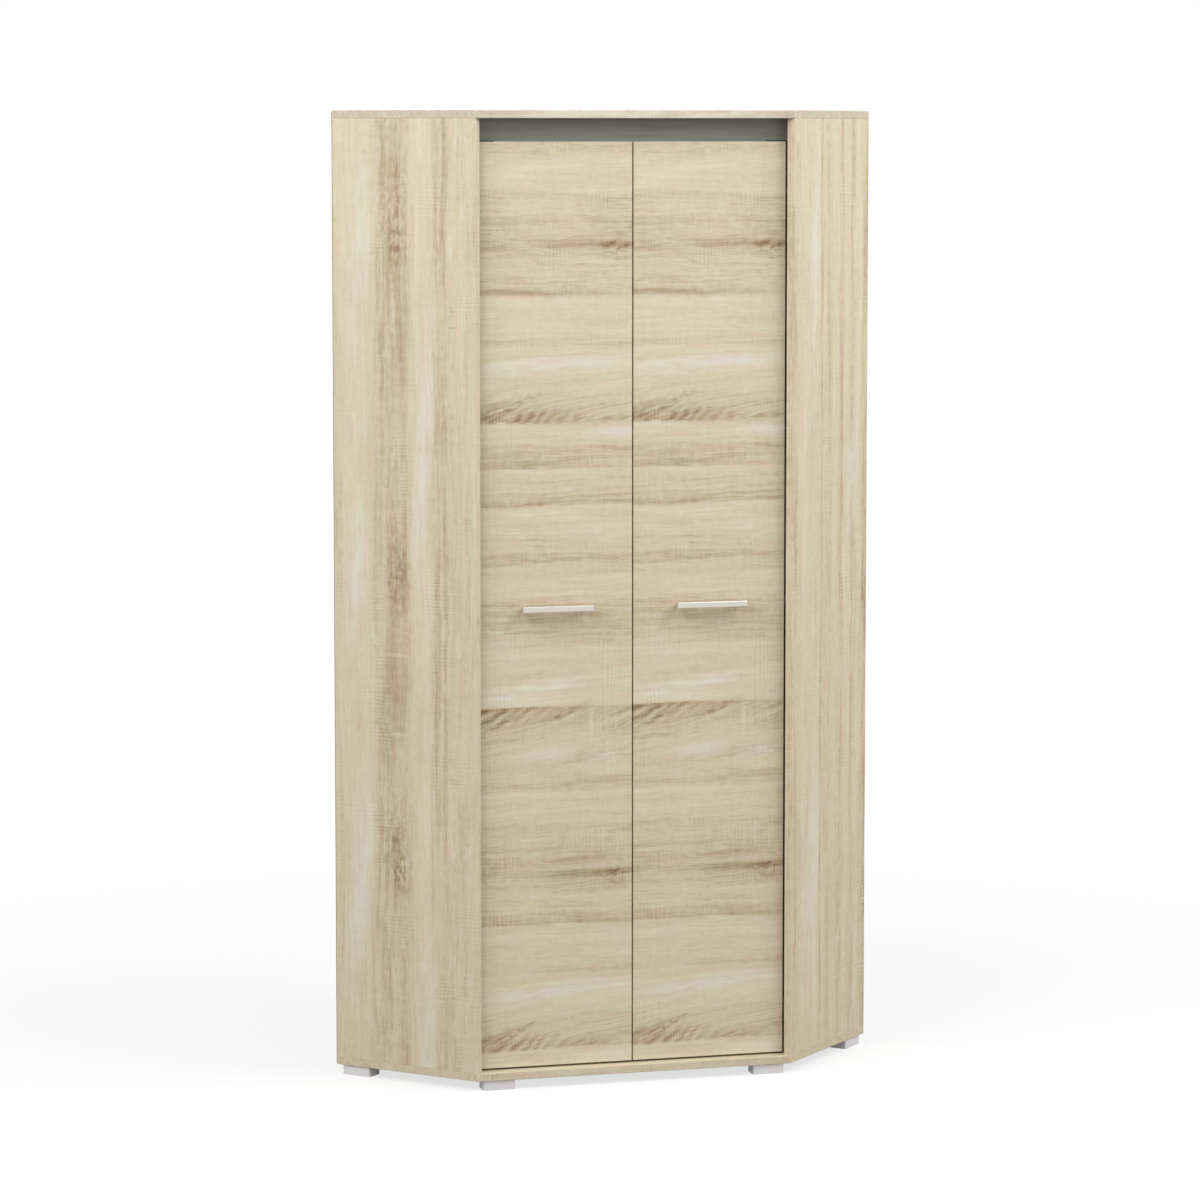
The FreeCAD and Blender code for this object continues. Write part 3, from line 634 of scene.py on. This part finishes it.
# %% Fibreboard backs
RAW_COLOURS = [(0.0, screen(134, 104, 74)), (1.0, screen(176, 143, 106))]
PAINT_COLOURS = [(0.0, screen(214, 203, 180)), (1.0, screen(224, 214, 192))]
PRESSED = (260.0, 300.0, 5.0, 0.7)
BRUSHED = (30.0, 34.0, 3.0)


def fibreboard(name, corner, along, across):
    """Raw board outside and paint inside, from a corner in the middle of the sheet's thickness."""
    material, tree, shader = new_finish(name, Roughness=0.7)
    place = sheet_place(tree, corner, along, across)
    fibres = remap(tree, grain(tree, place, *PRESSED), *MOST_NOISE, 0.0, 1.0)
    paint = remap(tree, grain(tree, place, *BRUSHED), *MOST_NOISE, 0.0, 1.0)
    depth = add(tree, "SeparateXYZ", {0: place}).outputs[2]
    outside = calc(tree, "GREATER_THAN", depth, 0.0)
    colour = mix(tree, outside, ramp(tree, paint, PAINT_COLOURS), ramp(tree, fibres, RAW_COLOURS))
    tree.links.new(colour, shader.inputs["Base Color"])
    raise_surface(tree, shader, fibres, strength=0.15, distance=0.0003)
    return material


low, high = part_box("left_back_panel")
left_back = fibreboard("fibreboard_left", Vector((low.x, low.y, high.z)), TO_REAR_RIGHT, DOWN)
low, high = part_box("right_back_panel")
right_back = fibreboard("fibreboard_right", Vector((high.x, low.y, high.z)), DOWN, -TO_FRONT_RIGHT)
wear(left_back, "left_back_panel")
wear(right_back, "right_back_panel")
print("backs are", round(high.z - low.z, 4), "metres high")

# %% [markdown]
# The post in the rear corner is planed softwood and the dowels are beech. They could have the oak's many
# layers, but both hide inside, so the fascia's drawn-out noise with other colours is enough.

# %% Post and dowels
DEEP_PINE, PALE_PINE = screen(196, 160, 112), screen(226, 196, 150)
DEEP_BEECH, PALE_BEECH = screen(186, 146, 108), screen(208, 172, 134)
UPRIGHT = {"rough": 0.6, "grain_to": DOWN, "cross_to": EAST}

pine = fibre_finish("pine_post", DEEP_PINE, PALE_PINE, along=2.0, across=150.0, **UPRIGHT)
beech = fibre_finish("beech_dowel", DEEP_BEECH, PALE_BEECH, along=40.0, across=700.0, **UPRIGHT)
wear(pine, "rear_corner_post")
wear(beech, "wooden_dowels")
print("the post wears", pine.name, "and the dowels wear", beech.name)

# %% [markdown]
# Handles, hinges, screws and the rail are metal. A metal's colour is the colour of its reflection, so the
# differences lie mostly in how rough the surface is: satin for the handles, brushed for hinges and screws,
# polished for the rail. A single roughness would look like paint, so faint streaks run through it.

# %% Metals
STREAK_SHADE = 0.93      # brightness of a metal's darker streaks


def metal(name, colour, rough, spread, along, across):
    """Metal with streaks so many a metre; rough is its mean roughness and spread the swing."""
    material, tree, shader = new_finish(name, Metallic=1.0)
    streak = grain(tree, sheet_place(tree), along, across)
    roughness = remap(tree, streak, *MOST_NOISE, rough - spread, rough + spread)
    tree.links.new(roughness, shader.inputs["Roughness"])
    dim = (*(value * STREAK_SHADE for value in colour[:3]), 1.0)
    tint = ramp(tree, streak, [(0.25, dim), (0.75, colour)])
    tree.links.new(tint, shader.inputs["Base Color"])
    return material


satin = metal("satin_aluminium", screen(218, 211, 202), rough=0.38, spread=0.05, along=20.0, across=1600.0)
nickel = metal("nickel_hinge", screen(200, 198, 194), rough=0.3, spread=0.06, along=60.0, across=900.0)
zinc = metal("zinc_screw", screen(192, 193, 196), rough=0.36, spread=0.06, along=400.0, across=400.0)
chrome = metal("chrome_rail", screen(222, 222, 224), rough=0.12, spread=0.03, along=8.0, across=700.0)
hinge_names = [name for name in pieces if "_hinge_" in name]
screw_names = [name for name in pieces if name.endswith("_screws")]
wear(satin, "left_handle", "right_handle")
wear(chrome, "hanging_rail", "rail_bracket_left", "rail_bracket_right")
wear(nickel, *hinge_names)
wear(zinc, "cam_locks", "cam_bolts", "shelf_pins", *screw_names)
print(len(hinge_names), "hinge pieces and", len(screw_names), "groups of screws")

# %% [markdown]
# The feet are moulded plastic sprayed silver, with a fine sparkle. The rail's end caps are grey plastic and
# the door bumpers are soft and pale. A metal shader would make the feet mirror the floor, so they stay a
# plastic, and a speckle in colour and height gives the sprayed look.

# %% Plastics
SPECK_RANGE = (0.35, 0.65, 0.0, 1.0)


def moulded(name, dark, light, specks, rough):
    """Plastic with fine specks, so many a metre."""
    material, tree, shader = new_finish(name, Roughness=rough)
    speckle = grain(tree, sheet_place(tree), specks, specks, detail=2.0)
    tone = remap(tree, speckle, *SPECK_RANGE)
    tree.links.new(ramp(tree, tone, [(0.0, dark), (1.0, light)]), shader.inputs["Base Color"])
    raise_surface(tree, shader, tone, strength=0.1, distance=0.0002)
    return material


silver = moulded("silver_foot", screen(222, 219, 221), screen(234, 231, 233), specks=1400.0, rough=0.42)
cap_grey = moulded("grey_cap", screen(118, 118, 120), screen(134, 134, 136), specks=900.0, rough=0.5)
soft_pale = moulded("soft_bumper", screen(206, 204, 196), screen(220, 218, 210), specks=500.0, rough=0.4)
foot_names = [name for name in pieces if name.endswith("_foot")]
wear(silver, *foot_names)
wear(cap_grey, "rail_end_caps")
wear(soft_pale, "door_bumpers")
print(len(foot_names), "feet")

# %% [markdown]
# Small nails hold each back sheet to the boards around it, and only their flat heads show. A bump in the
# material would vanish from the side, so one head is modelled from a cylinder and its rim is bevelled.

# %% One nail head
NAIL_RADIUS = 0.0021
NAIL_HEIGHT = 0.0008
NAIL_RIM = NAIL_HEIGHT / 4.0
NAIL_SIDES = 12

bpy.ops.object.select_all(action="DESELECT")
bpy.ops.mesh.primitive_cylinder_add(vertices=NAIL_SIDES, radius=NAIL_RADIUS, depth=NAIL_HEIGHT)
nail = bpy.context.object
rim = nail.modifiers.new("rim", "BEVEL")
rim.width = NAIL_RIM
rim.segments = 1
bpy.ops.object.modifier_apply(modifier=rim.name)
print("a nail head has", len(nail.data.polygons), "faces")

# %% [markdown]
# Copies of the head march along the four edges of each sheet at an even pitch, sunk half into it. An array
# modifier could make each row, but two rows would both put a head in the corner they share, so the places are
# worked out first. Each copy gets its own mesh, and the heads of a sheet are joined into one piece.

# %% Nails in the backs
NAIL_PITCH = 0.12
NAIL_INSET = 0.008       # metres from the sheet's edge
UP = -DOWN
scene = bpy.context.scene


def even_places(start, end):
    """Places from start to end, about a pitch apart."""
    count = round((end - start) / NAIL_PITCH) + 1
    return [start + (end - start) * index / (count - 1) for index in range(count)]


def edge_nails(name, sheet, along, outwards):
    """Nail heads along the four edges of a back sheet, joined into one piece."""
    spots = [vertex.co for vertex in pieces[sheet].data.vertices]
    face = outwards * max(spot.dot(outwards) for spot in spots)
    reach = [spot.dot(along) for spot in spots]
    heights = [spot.z for spot in spots]
    steps = even_places(min(reach) + NAIL_INSET, max(reach) - NAIL_INSET)
    levels = even_places(min(heights) + NAIL_INSET, max(heights) - NAIL_INSET)
    places = [(step, level) for level in (levels[0], levels[-1]) for step in steps]
    places += [(step, level) for level in levels[1:-1] for step in (steps[0], steps[-1])]
    turn = outwards.to_track_quat("Z", "Y").to_matrix().to_4x4()
    bpy.ops.object.select_all(action="DESELECT")
    for step, level in places:
        head = bpy.data.objects.new(name, nail.data.copy())
        head.data.transform(Matrix.Translation(face + along * step + UP * level) @ turn)
        scene.collection.objects.link(head)
        head.select_set(True)
        bpy.context.view_layer.objects.active = head
    bpy.ops.object.join()
    heads = bpy.context.object
    heads.data.materials.append(zinc)
    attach(heads, "carcass")
    print(name, len(places), "heads")


edge_nails("left_back_nails", "left_back_panel", TO_REAR_RIGHT, -TO_FRONT_RIGHT)
edge_nails("right_back_nails", "right_back_panel", TO_FRONT_RIGHT, TO_REAR_RIGHT)
bpy.data.objects.remove(nail)

# %% [markdown]
# The studio's surround is white. It shines more strongly near the horizon than overhead, so the upright faces
# are lit evenly and the top doesn't glare. A picture of a studio could light it too, but a plain rise and
# fall is easier to set. Seen by the camera, a mirror or glass it is plain white, whatever it gives as light.

# %% Surround
HORIZON_LIGHT = 1.18
ZENITH_LIGHT = 0.35
WHITE = (1.0, 1.0, 1.0, 1.0)


def seen_directly(tree):
    """One where a ray comes straight from the camera, a mirror or glass."""
    path = add(tree, "LightPath")
    seen = calc(tree, "MAXIMUM", path.outputs["Is Camera Ray"], path.outputs["Is Glossy Ray"])
    return calc(tree, "MAXIMUM", seen, path.outputs["Is Transmission Ray"])


scene.view_settings.view_transform = "Standard"
world = bpy.data.worlds.new("surround")
scene.world = world
world.use_nodes = True
surround = world.node_tree
heading = add(surround, "TexCoord").outputs["Generated"]
height = add(surround, "SeparateXYZ", {0: heading}).outputs[2]
sky = remap(surround, height, 0.0, 1.0, HORIZON_LIGHT, ZENITH_LIGHT)
strength = mix(surround, seen_directly(surround), sky, 1.0, "FLOAT")
background = surround.nodes["Background"]
background.inputs["Color"].default_value = WHITE
surround.links.new(strength, background.inputs["Strength"])
print("surround from", HORIZON_LIGHT, "at the horizon to", ZENITH_LIGHT, "overhead")

# %% [markdown]
# The floor is wide and pale. Its own colour is a soft grey, which throws only a little light back up. Seen
# directly it is mostly white, with a share of shaded paper so that the wardrobe's soft shadow stays. A shadow
# catcher would need the compositor, so the floor's material does this by itself. Farther out it turns fully
# white, so no horizon shows.

# %% Floor
FLOOR_SIZE = 60.0
FLOOR_COLOURS = [(0.3, screen(148, 141, 132)), (0.7, screen(154, 147, 138))]
FLOOR_MOTTLE = 3.0       # features a metre
PAPER_WHITE = screen(252, 252, 252)
SHADOW_SHARE = 0.3
SHADOW_REACH = 2.4       # metres from the middle at which the floor is fully white
SHADOW_FADE = SHADOW_REACH / 3.0    # metres from the middle at which it starts to whiten

bpy.ops.object.select_all(action="DESELECT")
bpy.ops.mesh.primitive_plane_add(size=FLOOR_SIZE, location=(0.0, 0.0, cad_box[0][2]))
floor = bpy.context.object
floor.name = "studio_floor"
floor_finish, tree, shader = new_finish("pale_floor", Roughness=0.9, Specular_IOR_Level=0.0)
place = sheet_place(tree)
mottle = ramp(tree, grain(tree, place, FLOOR_MOTTLE, FLOOR_MOTTLE), FLOOR_COLOURS)
tree.links.new(mottle, shader.inputs["Base Color"])
paper = add(tree, "BsdfDiffuse", {"Color": PAPER_WHITE})
white = add(tree, "Emission", {"Color": WHITE, "Strength": 1.0})
away = add(tree, "VectorMath", {0: place}, operation="LENGTH").outputs["Value"]
plain = remap(tree, away, SHADOW_FADE, SHADOW_REACH, 1.0 - SHADOW_SHARE, 1.0)
shown = add(tree, "MixShader", {0: plain, 1: paper.outputs[0], 2: white.outputs[0]})
mixed = add(tree, "MixShader", {0: seen_directly(tree), 1: shader.outputs[0], 2: shown.outputs[0]})
tree.links.new(mixed.outputs[0], tree.nodes["Material Output"].inputs["Surface"])
floor.data.materials.append(floor_finish)
print("floor at", round(cad_box[0][2], 4))

# %% [markdown]
# Two large soft lamps stand high in front, one to each side. Each looks along one slanted side and both share
# the doors, so the three faces come out about equally bright and everything fades a little downwards. A
# single lamp would leave a side dark. The right one is a little stronger.

# %% Lamps
LAMP_AIM = Vector((0.0, -0.3, 1.0))
LAMP_SIZE = 2.5
LAMPS = {"left_lamp": (Vector((-2.9, -2.1, 4.0)), 101.0), "right_lamp": (Vector((2.9, -2.1, 4.0)), 104.0)}

for name, (place, watts) in LAMPS.items():
    bpy.ops.object.light_add(type="AREA", location=place)
    lamp = bpy.context.object
    lamp.name = name
    lamp.data.shape = "SQUARE"
    lamp.data.size = LAMP_SIZE
    lamp.data.energy = watts
    lamp.rotation_euler = (LAMP_AIM - place).to_track_quat("-Z", "Y").to_euler()
    print(name, watts, "watts")

# %% [markdown]
# The camera stands far off to the left of the front, at the height of the top board, so the top shows only
# as a line and the doors fall away to the right. A long lens keeps the uprights almost parallel. A level
# camera with a large lens shift would make them exactly so, but it would push the wardrobe out of every other
# view, so the camera tilts and the shift stays small.

# %% Camera
CAMERA_PLACE = Vector((-2.310, -8.589, 1.911))
CAMERA_TURN = 15.27      # degrees to the right of straight ahead
CAMERA_PITCH = 5.30      # degrees downwards
CAMERA_SHIFT = -0.06     # share of the frame
LENS_PIXELS = 4291.0     # focal length in pixels of the 1200 pixel frame
FRAME_PIXELS = 1200.0
SENSOR = 36.0
SIGHT = 100.0            # metres up to which the camera sees

bpy.ops.object.camera_add(location=CAMERA_PLACE)
camera = bpy.context.object
camera.name = "photo_camera"
camera.rotation_euler = Euler((math.radians(90.0 - CAMERA_PITCH), 0.0, math.radians(-CAMERA_TURN)))
camera.data.sensor_width = SENSOR
camera.data.lens = LENS_PIXELS / FRAME_PIXELS * SENSOR
camera.data.shift_y = CAMERA_SHIFT
camera.data.clip_end = SIGHT
scene.camera = camera
print("lens", round(camera.data.lens, 1), "mm")
